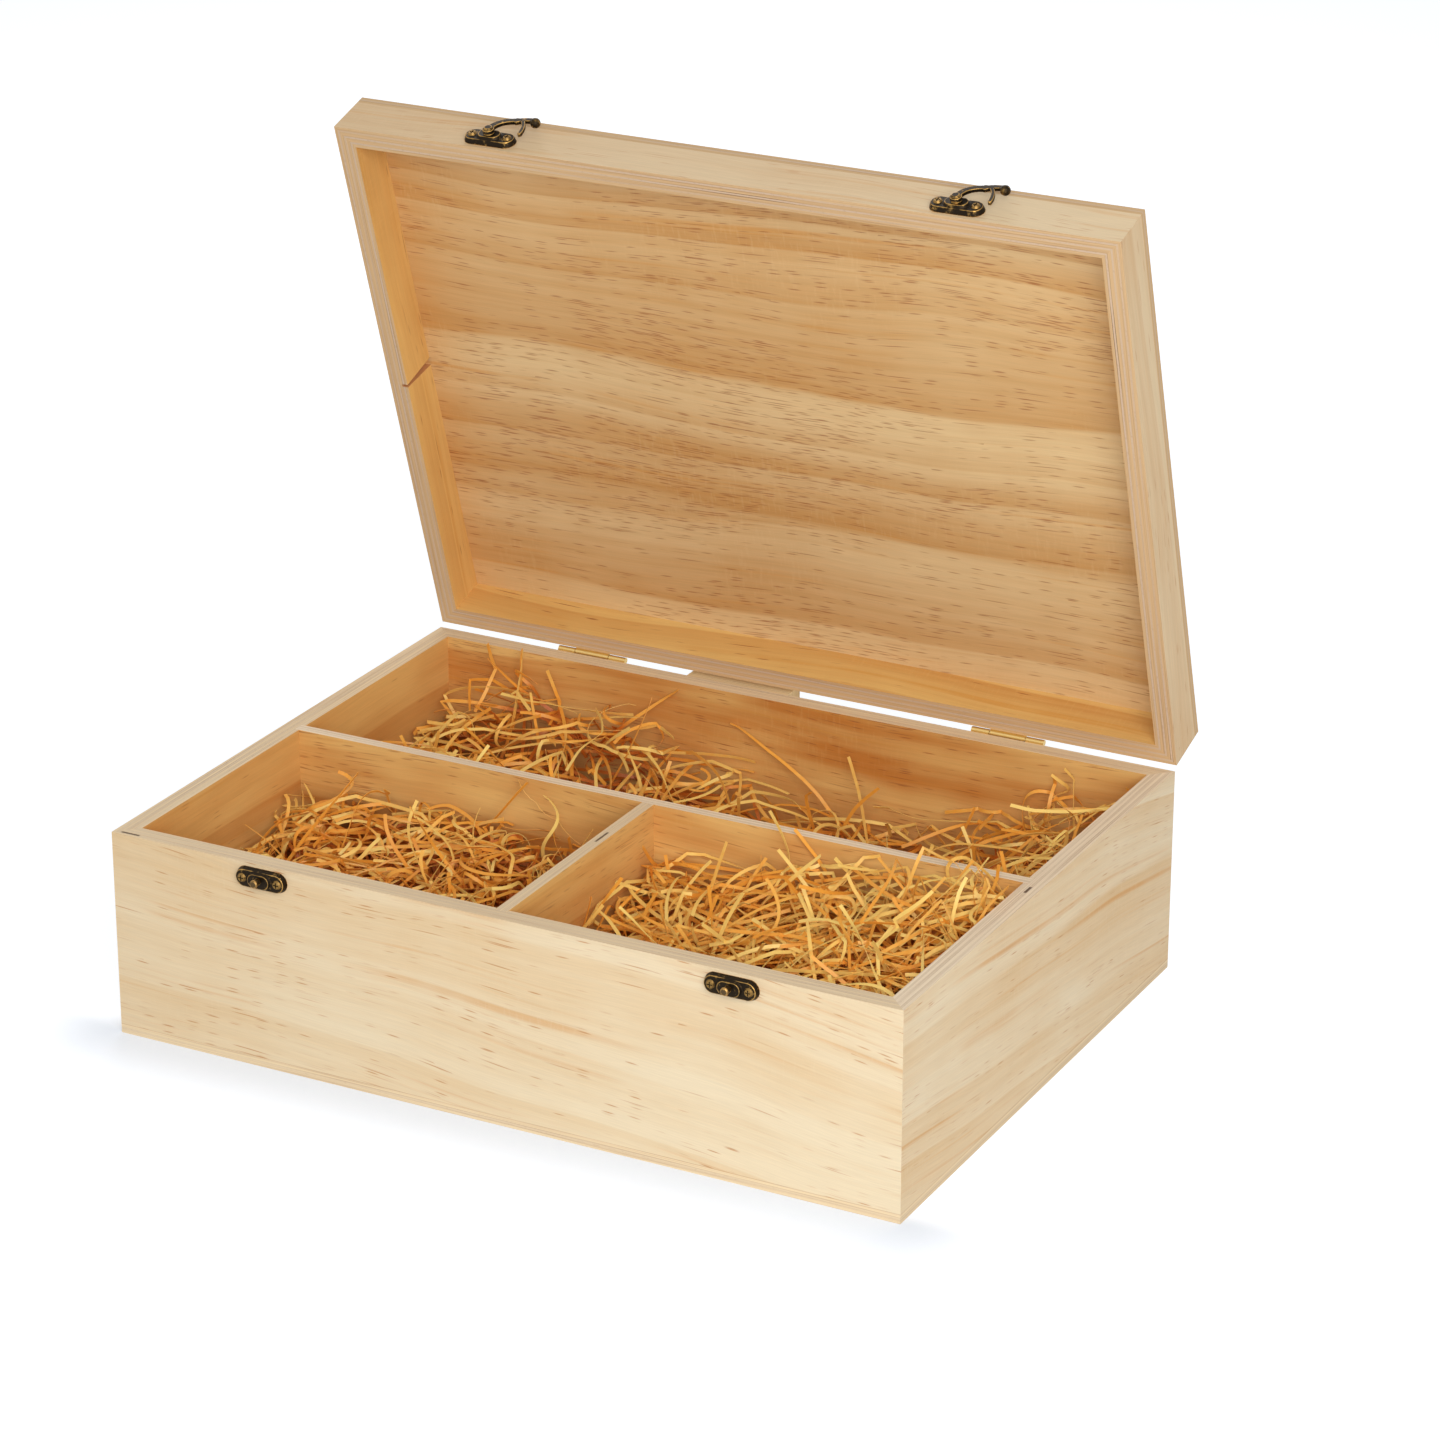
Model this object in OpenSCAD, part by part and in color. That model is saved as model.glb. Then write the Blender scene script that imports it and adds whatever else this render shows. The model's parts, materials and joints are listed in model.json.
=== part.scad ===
// Wooden wine box with a hinged lid: a long bay for a bottle, two short bays for
// glasses, two butt hinges at the back and two hook latches at the front.
// Millimetres. +X right, +Y back, +Z up, origin under the centre of the base.

/* [Box] */
// Outer width of the box and of the lid
body_w = 360; // [300:1:440]
// Outer depth of the box and of the lid
body_d = 262; // [218:1:320]
// Height of the box without its lid, bottom panel included
body_h = 91; // [75:1:130]
// Thickness of the box walls and of the lid rails
wall_t = 9; // [7.5:0.5:12]
// Thickness of the bottom panel
bottom_t = 4; // [3:0.5:6]

/* [Dividers] */
// Thickness of both dividers
divider_t = 5.5; // [4:0.1:9]
// How far the long divider lies behind the middle of the box
long_divider_y = 0; // [-20:1:20]
// How far the cross divider lies to the right of the middle
cross_divider_x = 0; // [-30:1:30]
// Depth of the grooves that hold the dividers' ends
groove_depth = 2; // [1:0.5:3]
// Play between a divider and each side of its groove
groove_play = 0.05; // [0.02:0.01:0.2]

/* [Wood wool] */
// Height of the packed wood wool under the bottle
bottle_bed_h = 28; // [10:1:40]
// Height of the packed wood wool under each glass
glass_bed_h = 12; // [8:1:30]
// Gap between the wood wool and the wood around it
bed_gap = 0.3; // [0.3:0.1:2]

/* [Lid] */
// Height of the lid, from its rim to its outer face
lid_h = 24; // [20:0.5:40]
// Thickness of the lid's panel
lid_panel_t = 4; // [3:0.5:6]
// How far the lid stands open, in degrees
lid_open = 72.6; // [0:0.1:100]
// Gap between the rims when the lid is shut
closed_gap = 0.9; // [0.5:0.1:2]
// How far the joint in the left rail lies behind the middle
splice_y = 0; // [-60:1:60]
// Depth of the open notch on the inner side of that joint
notch_depth = 3; // [2:0.5:6]
// Width of the notch at the rim
notch_rim_w = 1.3; // [1:0.1:4]
// Width of the notch at the panel
notch_panel_w = 3.7; // [2:0.1:8]

/* [Lid stop] */
// Width of the stop block on the back wall
stop_w = 50; // [30:1:70]
// How far the block's middle lies to the right of the box's middle
stop_x = -28.5; // [-30:0.5:30]
// Thickness of the block, which sets how far the lid opens
stop_t = 12; // [8:0.5:12]
// Height of the block
stop_h = 25; // [15:1:40]

/* [Hinges] */
// Distance from the box's end to the middle of a hinge
hinge_inset = 78; // [50:1:80]
// Length of a hinge
hinge_len = 34; // [26:1:44]
// Height of one leaf, from the pin's axis to its edge
leaf_h = 12; // [10:0.5:14]
// Thickness of a leaf
leaf_t = 0.9; // [0.7:0.1:1.1]
// Diameter of the rolled barrel
barrel_d = 2.6; // [2.6:0.1:4]
// Diameter of the hinge pin
pin_d = 1.4; // [1.2:0.1:1.5]
// Play between the pin and the barrel, on each side
pin_play = 0.05; // [0.02:0.01:0.1]
// Gap between the barrel and the wood beside it
barrel_gap = 0.3; // [0.3:0.1:0.8]
// Gap between neighbouring knuckles
knuckle_gap = 0.3; // [0.2:0.1:0.6]
// Distance between a leaf's two screws
leaf_screw_pitch = 20; // [14:1:24]
// Distance from the pin's axis to the screws
leaf_screw_drop = 7; // [5:0.5:8]

/* [Latches] */
// Distance from the box's end to the middle of a latch
latch_inset = 73; // [40:1:80]
// Length of a latch or catch plate
plate_len = 24; // [20:0.5:32]
// Width of a plate where it meets the wood
plate_w = 9; // [8:0.5:10]
// Thickness of a plate at its ends
plate_t = 2.5; // [2:0.1:3.5]
// Height of the hump in the middle of a plate
hump_h = 1.3; // [0.5:0.1:2]
// How much narrower a plate's sides are at the top, on each side
plate_draft = 0.8; // [0.2:0.1:1.2]
// Distance between a plate's two screws
plate_screw_pitch = 16.6; // [14:0.2:22]
// Height of the latch pivot above the lid's rim
pivot_up = 6; // [5.5:0.1:8]
// Depth of the catch post below the top of the front wall
post_drop = 5.6; // [5.2:0.1:8]
// How far the post sits above the middle of its plate
post_offset = 0.3; // [0:0.1:1]
// Diameter of the post's neck and of the latch rivet
post_d = 2.4; // [2:0.1:3]
// Diameter of the post's head
post_head_d = 3.6; // [3.2:0.1:4.4]
// Height of the shoulder under the hook arm
shoulder_h = 0.5; // [0.4:0.05:1]
// Thickness of the hook arm
arm_t = 1.7; // [1.2:0.1:2.2]
// Width of the hook arm at its root
arm_root_w = 3; // [2.4:0.1:3.6]
// Width of the hook's prong
prong_w = 1.6; // [1.2:0.1:2.2]
// Diameter of the eye round the rivet
eye_d = 5; // [4.6:0.1:6]
// Diameter of the knob that is pushed to turn the hook
knob_d = 4.4; // [4:0.1:5]
// Gap between the hook and the post when it is shut
hook_gap = 0.25; // [0.2:0.05:0.6]
// How far a hook turns from lying along the lid to shut
hook_turn = 122; // [100:1:130]

/* [Screws] */
// Diameter of the plate screws' heads
plate_screw_head_d = 4; // [3.4:0.1:4.4]
// Diameter of the hinge screws' heads
leaf_screw_head_d = 3.2; // [2.8:0.1:3.6]
// Diameter of the screws' shanks
shank_d = 1.6; // [1.4:0.1:2]
// Height of the screws' heads
head_h = 0.8; // [0.6:0.1:1]
// Length of a screw in the wood
grip = 6; // [4:0.5:7]
// Play round a shank, a rivet or a post in its hole
hole_play = 0.05; // [0.02:0.01:0.1]

/* [Hidden] */

$fn = 48;

// Colours, as the box shows them
PINE = [0.90, 0.81, 0.64];
PLY = [0.86, 0.72, 0.50];
HONEY = [0.80, 0.62, 0.37];
WOOL = [0.87, 0.73, 0.48];
BRONZE = [0.20, 0.16, 0.12];
BRASS = [0.72, 0.58, 0.31];

// Box walls
wall_h = body_h - bottom_t;
inner_x = body_w / 2 - wall_t;
inner_y = body_d / 2 - wall_t;

// Lid, drawn shut and then turned about the hinge axis
rim_z = body_h + closed_gap;
rail_h = lid_h - lid_panel_t;
barrel_off = barrel_d / 2 + barrel_gap;
hinge_x = body_w / 2 - hinge_inset;
hinge_y = body_d / 2 + barrel_off;
hinge_z = body_h + closed_gap / 2;
knuckle = hinge_len / 4;

// Heights above the wood on a latch or catch plate
hump_top = plate_t + hump_h;
arm_base = hump_top + shoulder_h + hole_play;
arm_top = arm_base + arm_t;
rivet_head_h = 0.75;
post_head_h = 0.9;
post_neck = arm_top + 0.3;

// Latch and catch centres
latch_x = body_w / 2 - latch_inset;
pivot_z = rim_z + pivot_up;
post_z = body_h - post_drop;
catch_z = post_z - post_offset;

// Hook: distances from the pivot, in the plane of the arm
reach = pivot_z - post_z;
slot_r = post_d / 2 + hook_gap;
prong_in = reach + slot_r;
prong_mid = prong_in + prong_w / 2;
post_angle = hook_turn - 90;
crook_angle = post_angle + 2 * asin((slot_r + prong_w) / 2 / reach);
crook = [reach * cos(crook_angle) + 0.2, reach * sin(crook_angle)];
arch = [crook[0] * 0.05, crook[1] * 0.85];
arm_end = [reach + 4.6, crook[1] + 2];
knob = [arm_end[0], arm_end[1] - 1.2];

function bezier(a, b, c, t) = (1 - t) * (1 - t) * a + 2 * t * (1 - t) * b + t * t * c;
function bezier_slope(a, b, c, t) = (1 - t) * (b - a) + t * (c - b);
function unit_normal(v) = [-v[1], v[0]] / norm(v);

// A bar with a curved centre line that narrows from w0 to w1
module bowed_bar(a, b, c, w0, w1, steps = 16) {
    left = [for (i = [0 : steps])
        let (t = i / steps, w = w0 + (w1 - w0) * t)
        bezier(a, b, c, t) + unit_normal(bezier_slope(a, b, c, t)) * w / 2];
    right = [for (i = [steps : -1 : 0])
        let (t = i / steps, w = w0 + (w1 - w0) * t)
        bezier(a, b, c, t) - unit_normal(bezier_slope(a, b, c, t)) * w / 2];
    polygon(concat(left, right));
}

// Plan of one mitred side, its outer edge on the X axis
module side_plan(length) {
    polygon([
        [-length / 2, 0],
        [length / 2, 0],
        [length / 2 - wall_t, wall_t],
        [-length / 2 + wall_t, wall_t]
    ]);
}

// One mitred side, turned by a quarter turn for each of the four places
module side(turn, length, across, height) {
    rotate(turn) translate([0, -across / 2, 0]) linear_extrude(height) side_plan(length);
}

// Local frames with z out of the wood, on the front and on the back
module on_front(x, z) {
    translate([x, -body_d / 2, z]) rotate([90, 0, 0]) children();
}

module on_back(x, z) {
    translate([x, body_d / 2, z]) rotate([-90, 0, 0]) children();
}

module at_hinge(x) {
    translate([x, hinge_y, hinge_z]) children();
}

module lid_pose() {
    at_hinge(0) rotate([-lid_open, 0, 0]) translate([0, -hinge_y, -hinge_z]) children();
}

// A pan-head screw, its seat at z = 0 and its shank below
module screw(head_d) {
    slot = head_d * 0.62;
    difference() {
        union() {
            cylinder(h = head_h, d1 = head_d, d2 = head_d * 0.72);
            translate([0, 0, -grip]) cylinder(h = grip + head_h / 2, d = shank_d);
        }
        translate([-slot / 2, -0.25, head_h - 0.4]) cube([slot, 0.5, 1]);
        translate([-0.25, -slot / 2, head_h - 0.4]) cube([0.5, slot, 1]);
    }
}

// Hole for a screw whose seat is at z = seat
module screw_hole(seat) {
    translate([0, 0, seat - grip - hole_play])
        cylinder(h = grip + 1, d = shank_d + 2 * hole_play);
}

module plate_screw_places() {
    for (s = [-1, 1]) translate([s * plate_screw_pitch / 2, 0, 0]) children();
}

module leaf_screw_places() {
    for (s = [-1, 1]) translate([s * leaf_screw_pitch / 2, leaf_screw_drop, 0]) children();
}

// A long pad with round ends whose sides lean in towards the top
module drafted_pad(length, width, height, draft) {
    run = length - width;
    for (s = [-1, 1])
        translate([s * run / 2, 0, 0])
            cylinder(h = height, d1 = width, d2 = width - 2 * draft);
    translate([-run / 2, 0, 0]) rotate([90, 0, 90]) linear_extrude(run) polygon([
        [-width / 2, 0],
        [width / 2, 0],
        [width / 2 - draft, height],
        [-width / 2 + draft, height]
    ]);
}

// Plate with its hump, its two screw holes and a hole for a post or rivet
module fitting_plate(post_shift) {
    top_w = plate_w - 2 * plate_draft;
    difference() {
        union() {
            drafted_pad(plate_len, plate_w, plate_t, plate_draft);
            translate([0, 0, plate_t - 0.2])
                drafted_pad(top_w + 4, top_w, hump_h + 0.2, plate_draft);
        }
        plate_screw_places() screw_hole(plate_t);
        translate([0, post_shift, -1])
            cylinder(h = hump_top + 2, d = post_d + 2 * hole_play);
    }
}

module hook_arm() {
    difference() {
        union() {
            translate([0, 0, arm_base]) linear_extrude(arm_t) {
                circle(d = eye_d);
                bowed_bar([0, 0], arch, crook, arm_root_w, 2.4);
                translate(crook) circle(d = 3.2);
                bowed_bar(crook, [crook[0] + 4, crook[1] + 2], arm_end, 2.4, 2.2);
                translate(arm_end) circle(d = 2.2);
                intersection() {
                    difference() {
                        circle(r = prong_in + prong_w, $fn = 96);
                        circle(r = prong_in, $fn = 96);
                    }
                    polygon([[0, 0], [2 * reach, 0], [2 * crook[0], 2 * crook[1]]]);
                }
                translate([prong_mid, 0]) circle(d = prong_w);
            }
            translate([knob[0], knob[1], (arm_base + arm_top) / 2]) sphere(d = knob_d);
        }
        cylinder(h = arm_top + 1, d = post_d + 2 * pin_play);
        rotate(post_angle) translate([reach, 0, arm_base - 1])
            cylinder(h = arm_t + 2, r = slot_r);
    }
}

module rivet() {
    cylinder(h = arm_top + rivet_head_h / 2, d = post_d);
    translate([0, 0, hump_top]) cylinder(h = shoulder_h, d = eye_d - 0.3);
    translate([0, 0, arm_top + hole_play])
        cylinder(h = rivet_head_h, d1 = eye_d - 0.9, d2 = eye_d - 1.9);
}

module post() {
    cylinder(h = post_neck + 0.2, d = post_d);
    translate([0, 0, post_neck]) cylinder(h = post_head_h / 2, d = post_head_d);
    translate([0, 0, post_neck + post_head_h / 2])
        cylinder(h = post_head_h / 2, d1 = post_head_d, d2 = post_head_d - 0.8);
}

// One leaf below the pin's axis, with knuckles over the given spans
module hinge_leaf(spans) {
    difference() {
        union() {
            translate([-hinge_len / 2, -barrel_off, -leaf_h])
                cube([hinge_len, leaf_t, leaf_h - barrel_off]);
            for (s = spans) {
                translate([s[0], 0, 0]) rotate([0, 90, 0])
                    cylinder(h = s[1] - s[0], d = barrel_d);
                translate([s[0], -barrel_off, -barrel_off - 0.5])
                    cube([s[1] - s[0], leaf_t, barrel_off + 0.5]);
            }
        }
        translate([-hinge_len, 0, 0]) rotate([0, 90, 0])
            cylinder(h = 2 * hinge_len, d = pin_d + 2 * pin_play);
        translate([0, leaf_t - barrel_off, 0]) rotate([-90, 0, 0])
            leaf_screw_places() screw_hole(0);
    }
}

module box_leaf() {
    hinge_leaf([
        [-hinge_len / 2, -knuckle - knuckle_gap / 2],
        [knuckle + knuckle_gap / 2, hinge_len / 2]
    ]);
}

module lid_leaf() {
    mirror([0, 0, 1]) hinge_leaf([[-knuckle + knuckle_gap / 2, knuckle - knuckle_gap / 2]]);
}

module hinge_pin(x) {
    at_hinge(x) translate([-hinge_len / 2, 0, 0]) rotate([0, 90, 0])
        cylinder(h = hinge_len, d = pin_d);
}

module wool_bed(x0, x1, y0, y1, height) {
    translate([x0 + bed_gap, y0 + bed_gap, bottom_t])
        cube([x1 - x0 - 2 * bed_gap, y1 - y0 - 2 * bed_gap, height]);
}

// Groove for the end of a divider, centred on the Y axis from y = 0 on
module groove() {
    translate([-divider_t / 2 - groove_play, 0, bottom_t - 1])
        cube([divider_t + 2 * groove_play, groove_depth + 1, wall_h + 2]);
}

module front_wall() {
    color(PINE) difference() {
        translate([0, 0, bottom_t]) side(0, body_w, body_d, wall_h);
        translate([cross_divider_x, -inner_y - groove_depth, 0]) groove();
        for (s = [-1, 1]) on_front(s * latch_x, catch_z) {
            plate_screw_places() screw_hole(plate_t);
            translate([0, post_offset, -1.5]) cylinder(h = 2.5, d = post_d + 2 * hole_play);
        }
    }
}

module back_wall() {
    color(PINE) difference() {
        translate([0, 0, bottom_t]) side(180, body_w, body_d, wall_h);
        for (s = [-1, 1]) on_back(s * hinge_x, hinge_z) leaf_screw_places() screw_hole(leaf_t);
    }
}

module left_wall() {
    color(PINE) difference() {
        translate([0, 0, bottom_t]) side(-90, body_d, body_w, wall_h);
        translate([-inner_x - groove_depth, long_divider_y, 0]) rotate(-90) groove();
    }
}

module right_wall() {
    color(PINE) difference() {
        translate([0, 0, bottom_t]) side(90, body_d, body_w, wall_h);
        translate([inner_x + groove_depth, long_divider_y, 0]) rotate(90) groove();
    }
}

module bottom_panel() {
    color(PINE) translate([-body_w / 2, -body_d / 2, 0]) cube([body_w, body_d, bottom_t]);
}

module long_divider() {
    half = inner_x + groove_depth;
    color(HONEY) translate([-half, long_divider_y - divider_t / 2, bottom_t])
        cube([2 * half, divider_t, wall_h]);
}

module cross_divider() {
    front = -inner_y - groove_depth;
    back = long_divider_y - divider_t / 2;
    color(HONEY) translate([cross_divider_x - divider_t / 2, front, bottom_t])
        cube([divider_t, back - front, wall_h]);
}

module lid_stop_block() {
    color(PINE) translate([stop_x - stop_w / 2, body_d / 2, body_h - stop_h])
        cube([stop_w, stop_t, stop_h]);
}

module wood_wool_bottle_bay() {
    color(WOOL) wool_bed(-inner_x, inner_x, long_divider_y + divider_t / 2, inner_y,
        bottle_bed_h);
}

module wood_wool_left_bay() {
    color(WOOL) wool_bed(-inner_x, cross_divider_x - divider_t / 2,
        -inner_y, long_divider_y - divider_t / 2, glass_bed_h);
}

module wood_wool_right_bay() {
    color(WOOL) wool_bed(cross_divider_x + divider_t / 2, inner_x,
        -inner_y, long_divider_y - divider_t / 2, glass_bed_h);
}

module catch_plate(x) {
    color(BRONZE) on_front(x, catch_z) fitting_plate(post_offset);
}

module catch_post(x) {
    color(BRONZE) on_front(x, post_z) union() {
        post();
        translate([0, 0, -1.5]) cylinder(h = 2, d = post_d);
    }
}

module catch_screws() {
    color(BRONZE) for (s = [-1, 1]) on_front(s * latch_x, catch_z)
        plate_screw_places() translate([0, 0, plate_t]) screw(plate_screw_head_d);
}

module hinge_box_screws() {
    color(BRASS) for (s = [-1, 1]) on_back(s * hinge_x, hinge_z)
        leaf_screw_places() translate([0, 0, leaf_t]) screw(leaf_screw_head_d);
}

module lid_panel() {
    color(PINE) lid_pose() translate([-body_w / 2, -body_d / 2, rim_z + rail_h])
        cube([body_w, body_d, lid_panel_t]);
}

module lid_front_rail() {
    color(PINE) lid_pose() difference() {
        translate([0, 0, rim_z]) side(0, body_w, body_d, rail_h);
        for (s = [-1, 1]) on_front(s * latch_x, pivot_z) {
            plate_screw_places() screw_hole(plate_t);
            translate([0, 0, -1.5]) cylinder(h = 2.5, d = post_d + 2 * hole_play);
        }
    }
}

module lid_back_rail() {
    color(PINE) lid_pose() difference() {
        translate([0, 0, rim_z]) side(180, body_w, body_d, rail_h);
        for (s = [-1, 1]) on_back(s * hinge_x, hinge_z)
            mirror([0, 1, 0]) leaf_screw_places() screw_hole(leaf_t);
    }
}

module lid_right_rail() {
    color(PINE) lid_pose() translate([0, 0, rim_z]) side(90, body_d, body_w, rail_h);
}

// Half of the left rail, cut at the splice; direction -1 is the front half
module lid_left_rail(direction) {
    away = -direction * body_d / 2;
    difference() {
        translate([0, 0, rim_z]) side(-90, body_d, body_w, rail_h);
        translate([-body_w, splice_y + away - body_d / 2, rim_z - 1])
            cube([body_w, body_d, rail_h + 2]);
        translate([-inner_x - notch_depth, splice_y, rim_z]) rotate([90, 0, 90])
            linear_extrude(notch_depth + 1) polygon([
                [-notch_rim_w / 2, -1],
                [notch_rim_w / 2, -1],
                [notch_rim_w / 2, 0],
                [notch_panel_w / 2, rail_h],
                [-notch_panel_w / 2, rail_h],
                [-notch_rim_w / 2, 0]
            ]);
    }
}

module hinge_lid_screws() {
    color(BRASS) lid_pose() for (s = [-1, 1]) on_back(s * hinge_x, hinge_z)
        mirror([0, 1, 0]) leaf_screw_places() translate([0, 0, leaf_t]) screw(leaf_screw_head_d);
}

module latch_plate(x) {
    color(BRONZE) lid_pose() on_front(x, pivot_z) fitting_plate(0);
}

module latch_rivet(x) {
    color(BRONZE) lid_pose() on_front(x, pivot_z) union() {
        rivet();
        translate([0, 0, -1.5]) cylinder(h = 2, d = post_d);
    }
}

module latch_screws() {
    color(BRONZE) lid_pose() for (s = [-1, 1]) on_front(s * latch_x, pivot_z)
        plate_screw_places() translate([0, 0, plate_t]) screw(plate_screw_head_d);
}

module latch_arm(x) {
    color(BRONZE) lid_pose() on_front(x, pivot_z) hook_arm();
}

front_wall();
back_wall();
left_wall();
right_wall();
bottom_panel();
long_divider();
cross_divider();
lid_stop_block();
wood_wool_bottle_bay();
wood_wool_left_bay();
wood_wool_right_bay();
catch_plate(-latch_x);  // catch_plate_left
catch_plate(latch_x);  // catch_plate_right
catch_post(-latch_x);  // catch_post_left
catch_post(latch_x);  // catch_post_right
catch_screws();
color(BRASS) at_hinge(-hinge_x) box_leaf();  // hinge_box_leaf_left
color(BRASS) at_hinge(hinge_x) box_leaf();  // hinge_box_leaf_right
color(BRASS) hinge_pin(-hinge_x);  // hinge_pin_left
color(BRASS) hinge_pin(hinge_x);  // hinge_pin_right
hinge_box_screws();
lid_panel();
lid_front_rail();
lid_back_rail();
lid_right_rail();
color(PINE) lid_pose() lid_left_rail(-1);  // lid_left_rail_front
color(PINE) lid_pose() lid_left_rail(1);  // lid_left_rail_rear
color(BRASS) lid_pose() at_hinge(-hinge_x) lid_leaf();  // hinge_lid_leaf_left
color(BRASS) lid_pose() at_hinge(hinge_x) lid_leaf();  // hinge_lid_leaf_right
hinge_lid_screws();
latch_plate(-latch_x);  // latch_plate_left
latch_plate(latch_x);  // latch_plate_right
latch_rivet(-latch_x);  // latch_rivet_left
latch_rivet(latch_x);  // latch_rivet_right
latch_screws();
latch_arm(-latch_x);  // latch_arm_left
latch_arm(latch_x);  // latch_arm_right
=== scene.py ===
import json
import math

import bmesh
import bpy
import numpy as np
from mathutils import Matrix, Vector


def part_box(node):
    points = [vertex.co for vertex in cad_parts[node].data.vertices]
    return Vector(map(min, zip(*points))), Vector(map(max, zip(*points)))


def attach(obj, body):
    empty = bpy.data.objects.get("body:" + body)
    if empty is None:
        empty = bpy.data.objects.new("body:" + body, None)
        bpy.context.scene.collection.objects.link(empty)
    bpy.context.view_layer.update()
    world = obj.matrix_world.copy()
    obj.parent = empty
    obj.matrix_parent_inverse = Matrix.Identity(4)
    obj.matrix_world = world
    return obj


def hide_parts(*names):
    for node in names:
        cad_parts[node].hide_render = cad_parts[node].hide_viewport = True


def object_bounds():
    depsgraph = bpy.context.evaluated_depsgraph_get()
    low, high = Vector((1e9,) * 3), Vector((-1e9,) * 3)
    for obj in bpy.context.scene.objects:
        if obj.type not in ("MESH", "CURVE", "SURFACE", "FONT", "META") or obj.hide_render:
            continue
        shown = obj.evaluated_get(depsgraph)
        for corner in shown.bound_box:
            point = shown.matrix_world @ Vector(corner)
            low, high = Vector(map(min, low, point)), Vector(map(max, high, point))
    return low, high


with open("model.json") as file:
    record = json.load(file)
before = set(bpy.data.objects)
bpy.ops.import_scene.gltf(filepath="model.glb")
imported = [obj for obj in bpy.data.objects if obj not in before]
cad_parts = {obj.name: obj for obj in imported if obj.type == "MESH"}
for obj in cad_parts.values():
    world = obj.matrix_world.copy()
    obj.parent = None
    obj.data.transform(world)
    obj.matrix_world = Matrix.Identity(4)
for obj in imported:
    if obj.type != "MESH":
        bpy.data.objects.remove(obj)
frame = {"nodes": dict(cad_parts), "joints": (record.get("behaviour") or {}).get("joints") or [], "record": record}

bl_info = {
    "name": "Wooden wine box",
    "version": (1, 0, 0),
    "blender": (4, 5, 0),
    "location": "3D View > Sidebar > Wine box",
    "description": "Plywood, wood wool and antique fittings for a wooden wine box",
    "category": "Object",
}

MM = 0.001
CAD_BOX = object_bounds()

# ---------------------------------------------------------------- settings


def srgb(red, green, blue):
    """A colour given as 0 to 255 screen values, in Blender's linear values."""
    def linear(value):
        value /= 255
        return value / 12.92 if value <= 0.04045 else ((value + 0.055) / 1.055) ** 2.4
    return (linear(red), linear(green), linear(blue))


def colour_prop(name, description, value):
    return bpy.props.FloatVectorProperty(
        name=name, description=description, subtype="COLOR", size=3, min=0, max=1, default=value)


def length_prop(name, description, value):
    return bpy.props.FloatProperty(
        name=name, description=description, unit="LENGTH", min=0, default=value, precision=4)


class WoodSettings(bpy.types.PropertyGroup):
    outer_pale: colour_prop("Outer pale", "Palest wood on the outside", srgb(238, 220, 187))
    outer_warm: colour_prop("Outer warm", "Warmest wood on the outside", srgb(223, 188, 138))
    inner_pale: colour_prop("Inner pale", "Palest wood inside the box", srgb(235, 191, 117))
    inner_warm: colour_prop("Inner warm", "Warmest wood inside the box", srgb(198, 126, 55))
    panel_pale: colour_prop("Panel pale", "Pale bands of the lid's panel", srgb(236, 207, 156))
    panel_warm: colour_prop("Panel warm", "Warm bands of the lid's panel", srgb(205, 154, 92))
    dash: colour_prop("Dashes", "Short resin marks inside the box", srgb(158, 88, 46))
    outer_dash: colour_prop("Outer dashes", "Short resin marks outside", srgb(198, 142, 92))
    streak: colour_prop("Streaks", "Orange lines of summer growth", srgb(212, 146, 62))
    ply_long: colour_prop("Long plies", "Edge of the plies along the board", srgb(241, 219, 182))
    ply_lid: colour_prop("Lid's long plies", "Edge of the lid's plies", srgb(219, 184, 138))
    ply_cross: colour_prop("Cross plies", "Edge of the plies across the board", srgb(228, 207, 176))
    rail_pale: colour_prop("Rail pale", "Palest wood on the lid's rails", srgb(231, 205, 164))
    rail_warm: colour_prop("Rail warm", "Warmest wood on the lid's rails", srgb(213, 170, 118))
    # Painted light: the long divider's and right wall's rims are painted paler where the light from the right and
    # above falls on them.
    painted_lit_rims: colour_prop("Pale rims", "Rims of the long divider and right wall",
                          srgb(250, 232, 204))
    lid_cross: colour_prop("Lid's cross plies", "Edge of the lid's cross plies",
                           srgb(214, 190, 165))
    lid_pale: colour_prop("Lid inside pale", "Palest wood inside the lid's rails",
                          srgb(236, 196, 122))
    lid_warm: colour_prop("Lid inside warm", "Warmest wood inside the lid's rails",
                          srgb(208, 150, 80))
    notch: colour_prop("Notch", "Cut faces of the notch in the lid's rail", srgb(206, 142, 86))
    # Painted light: the stop block is painted pale, as if lit, though the lid shades it.
    block: colour_prop("Stop block", "The bare lid stop block", srgb(246, 219, 170))
    glue: colour_prop("Glue lines", "Dark lines between plies", srgb(158, 108, 68))


class WoolSettings(bpy.types.PropertyGroup):
    # Painted light and shade: pale for shavings on top where the light falls, warm and deep for shavings lower in
    # the pile where it is shaded.
    pale: colour_prop("Pale shaving", "Shavings on top of the pile", srgb(255, 218, 122))
    warm: colour_prop("Warm shaving", "Shavings a little deeper", srgb(246, 172, 66))
    deep: colour_prop("Deep shaving", "Shavings deep in the pile", srgb(206, 114, 38))
    width: length_prop("Width", "Width of a shaving", 1.5 * MM)
    thickness: length_prop("Thickness", "Thickness of a shaving", 0.14 * MM)
    seed: bpy.props.IntProperty(name="Seed", description="Changes every shaving", default=7)


class MetalSettings(bpy.types.PropertyGroup):
    dark: colour_prop("Antique dark", "Dark of the antique finish", srgb(44, 36, 27))
    worn: colour_prop("Antique worn", "Metal where the finish is rubbed off", srgb(190, 148, 82))
    brass: colour_prop("Brass", "Hinges", srgb(212, 184, 126))
    voxel: length_prop("Voxel", "Detail size of the cast fittings", 0.16 * MM)


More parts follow.
